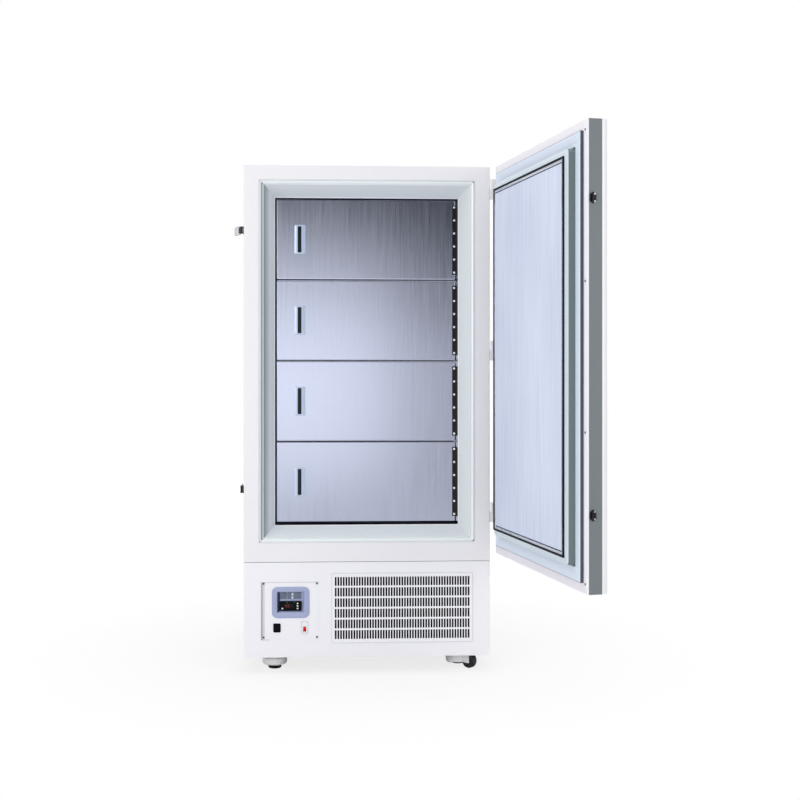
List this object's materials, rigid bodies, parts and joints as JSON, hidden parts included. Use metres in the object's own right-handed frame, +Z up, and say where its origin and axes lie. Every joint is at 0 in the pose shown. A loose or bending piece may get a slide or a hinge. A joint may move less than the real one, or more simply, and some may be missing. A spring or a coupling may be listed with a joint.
{
  "type": "laboratory freezer",
  "caption": "Upright laboratory freezer: insulated cabinet on castors, thick outer door, stainless inner doors, side latches and a machine bay with a slotted grille.",
  "frame": {"origin": "on the floor under the middle of the cabinet, halfway between its front and back", "axes": "+Z up, +Y from the front to the back, +X to the right seen from the front"},
  "size_m": [1.1212, 1.6306, 1.751],
  "materials": {
    "white_enamel": "smooth white enamel",
    "pale_plastic": "smooth off-white plastic",
    "stainless": "brushed along its length",
    "zinc": "dull zinc",
    "foam": "rigid foam",
    "edge_grey": "satin grey moulding",
    "gasket": "soft blue-grey rubber",
    "copper": "bare copper",
    "control_blue": "glossy pale blue",
    "black_plastic": "satin black",
    "white_plastic": "glossy white",
    "red_plastic": "translucent red",
    "dark_steel": "black enamel",
    "fin_aluminium": "bare fins",
    "castor_steel": "pale grey paint",
    "tyre": "hard black rubber",
    "bright_steel": "polished"
  },
  "bodies": {
    "cabinet": {"outer_shell": "white_enamel", "throat_frame": "pale_plastic", "inner_liner": "stainless", "shelves": "stainless", "foam_insulation": "foam", "evaporator_coil": "copper", "base_tray": "zinc", "deck_plate": "zinc", "lower_front_panel": "white_enamel", "front_grille": "white_enamel", "grille_rails": "white_enamel", "control_plate": "white_enamel", "control_bezel": "control_blue", "temperature_controller": "black_plastic", "switch_frames": "black_plastic", "condenser_unit": "fin_aluminium", "fan_motor": "dark_steel", "compressors": "dark_steel", "rear_cover": "white_enamel", "power_inlet": "black_plastic", "door_hinge_brackets": "bright_steel", "latch_bases": "dark_steel", "inner_hinge_frame_leaves": "bright_steel", "castor_rear_left": "castor_steel", "castor_rear_right": "castor_steel"},
    "main_door": {"door_skin": "white_enamel", "door_core": "edge_grey", "door_inner_frame": "pale_plastic", "door_gasket": "gasket", "door_inner_gasket": "gasket", "door_inner_panel": "stainless", "door_hinge_leaves": "bright_steel", "latch_keepers": "dark_steel"},
    "fan": {"fan_blades": "black_plastic"},
    "power_switch": {"power_rocker": "black_plastic"},
    "alarm_switch": {"alarm_rocker": "red_plastic"},
    "inner_door_1": {"inner_door_1": "stainless", "inner_door_hinge_1": "dark_steel"},
    "inner_door_2": {"inner_door_2": "stainless", "inner_door_hinge_2": "dark_steel"},
    "inner_door_3": {"inner_door_3": "stainless", "inner_door_hinge_3": "dark_steel"},
    "inner_door_4": {"inner_door_4": "stainless", "inner_door_hinge_4": "dark_steel"},
    "latch_lever_upper": {"latch_lever_upper": "dark_steel"},
    "latch_bail_upper": {"latch_bail_upper": "bright_steel"},
    "latch_lever_lower": {"latch_lever_lower": "dark_steel"},
    "latch_bail_lower": {"latch_bail_lower": "bright_steel"},
    "key_up": {"key_up": "white_plastic"},
    "key_set": {"key_set": "white_plastic"},
    "key_down": {"key_down": "white_plastic"},
    "key_light": {"key_light": "white_plastic"},
    "castor_front_left": {"castor_front_left": "castor_steel"},
    "levelling_pad_front_left": {"levelling_pad_front_left": "tyre"},
    "castor_front_right": {"castor_front_right": "castor_steel"},
    "levelling_pad_front_right": {"levelling_pad_front_right": "tyre"},
    "wheel_front_left": {"wheel_front_left": "tyre"},
    "wheel_front_right": {"wheel_front_right": "tyre"},
    "wheel_rear_left": {"wheel_rear_left": "tyre"},
    "wheel_rear_right": {"wheel_rear_right": "tyre"}
  },
  "joints": [
    {"name": "main_door_hinge", "type": "hinge", "parent": "cabinet", "child": "main_door", "pos_m": [0.432, -0.3885, 0.413], "axis": [0, 0, 1], "range_deg": [-100.4, 20]},
    {"name": "inner_door_1_hinge", "type": "hinge", "parent": "cabinet", "child": "inner_door_1", "pos_m": [0.318, -0.304, 1.36563], "axis": [0, 0, 1], "range_deg": [0, 105]},
    {"name": "inner_door_2_hinge", "type": "hinge", "parent": "cabinet", "child": "inner_door_2", "pos_m": [0.318, -0.304, 1.08125], "axis": [0, 0, 1], "range_deg": [0, 105]},
    {"name": "inner_door_3_hinge", "type": "hinge", "parent": "cabinet", "child": "inner_door_3", "pos_m": [0.318, -0.304, 0.79688], "axis": [0, 0, 1], "range_deg": [0, 105]},
    {"name": "inner_door_4_hinge", "type": "hinge", "parent": "cabinet", "child": "inner_door_4", "pos_m": [0.318, -0.304, 0.5125], "axis": [0, 0, 1], "range_deg": [0, 105]},
    {"name": "latch_upper_lever_pivot", "type": "hinge", "parent": "cabinet", "child": "latch_lever_upper", "pos_m": [-0.433, -0.382, 1.528], "axis": [0, 0, 1], "range_deg": [-25, 115]},
    {"name": "latch_upper_bail_pivot", "type": "hinge", "parent": "latch_lever_upper", "child": "latch_bail_upper", "pos_m": [-0.43807, -0.37112, 1.528], "axis": [0, 0, -1], "range_deg": [-180, 0]},
    {"name": "latch_lower_lever_pivot", "type": "hinge", "parent": "cabinet", "child": "latch_lever_lower", "pos_m": [-0.433, -0.382, 0.636], "axis": [0, 0, 1], "range_deg": [0, 140]},
    {"name": "latch_lower_bail_pivot", "type": "hinge", "parent": "latch_lever_lower", "child": "latch_bail_lower", "pos_m": [-0.433, -0.37, 0.636], "axis": [0, 0, -1], "range_deg": [-180, 0]},
    {"name": "front_left_swivel", "type": "hinge", "parent": "cabinet", "child": "castor_front_left", "pos_m": [-0.323, -0.29, 0.04], "axis": [0, 0, 1], "continuous": true},
    {"name": "front_left_wheel_axle", "type": "hinge", "parent": "castor_front_left", "child": "wheel_front_left", "pos_m": [-0.323, -0.238, 0.027], "axis": [-1, 0, 0], "continuous": true},
    {"name": "front_left_pad_screw", "type": "slide", "parent": "cabinet", "child": "levelling_pad_front_left", "axis": [0, 0, 1], "range_m": [0, 0.01]},
    {"name": "front_right_swivel", "type": "hinge", "parent": "cabinet", "child": "castor_front_right", "pos_m": [0.323, -0.29, 0.04], "axis": [0, 0, 1], "continuous": true},
    {"name": "front_right_wheel_axle", "type": "hinge", "parent": "castor_front_right", "child": "wheel_front_right", "pos_m": [0.35977, -0.32677, 0.027], "axis": [0.7071, 0.7071, 0], "continuous": true},
    {"name": "front_right_pad_screw", "type": "slide", "parent": "cabinet", "child": "levelling_pad_front_right", "axis": [0, 0, 1], "range_m": [-0.011, 0]},
    {"name": "rear_left_wheel_axle", "type": "hinge", "parent": "cabinet", "child": "wheel_rear_left", "pos_m": [-0.323, 0.29, 0.027], "axis": [1, 0, 0], "continuous": true},
    {"name": "rear_right_wheel_axle", "type": "hinge", "parent": "cabinet", "child": "wheel_rear_right", "pos_m": [0.323, 0.29, 0.027], "axis": [1, 0, 0], "continuous": true},
    {"name": "power_rocker_pivot", "type": "hinge", "parent": "cabinet", "child": "power_switch", "pos_m": [-0.3108, -0.3885, 0.1592], "axis": [1, 0, 0], "range_deg": [0, 16]},
    {"name": "alarm_rocker_pivot", "type": "hinge", "parent": "cabinet", "child": "alarm_switch", "pos_m": [-0.2158, -0.3885, 0.1545], "axis": [1, 0, 0], "range_deg": [0, 16]},
    {"name": "key_up_press", "type": "slide", "parent": "cabinet", "child": "key_up", "axis": [0, 1, 0], "range_m": [0, 0.0008], "stiffness_N_per_m": 800},
    {"name": "key_set_press", "type": "slide", "parent": "cabinet", "child": "key_set", "axis": [0, 1, 0], "range_m": [0, 0.0008], "stiffness_N_per_m": 800},
    {"name": "key_down_press", "type": "slide", "parent": "cabinet", "child": "key_down", "axis": [0, 1, 0], "range_m": [0, 0.0008], "stiffness_N_per_m": 800},
    {"name": "key_light_press", "type": "slide", "parent": "cabinet", "child": "key_light", "axis": [0, 1, 0], "range_m": [0, 0.0008], "stiffness_N_per_m": 800},
    {"name": "fan_shaft", "type": "hinge", "parent": "cabinet", "child": "fan", "pos_m": [0.121, -0.299, 0.214], "axis": [0, 1, 0], "continuous": true}
  ]
}
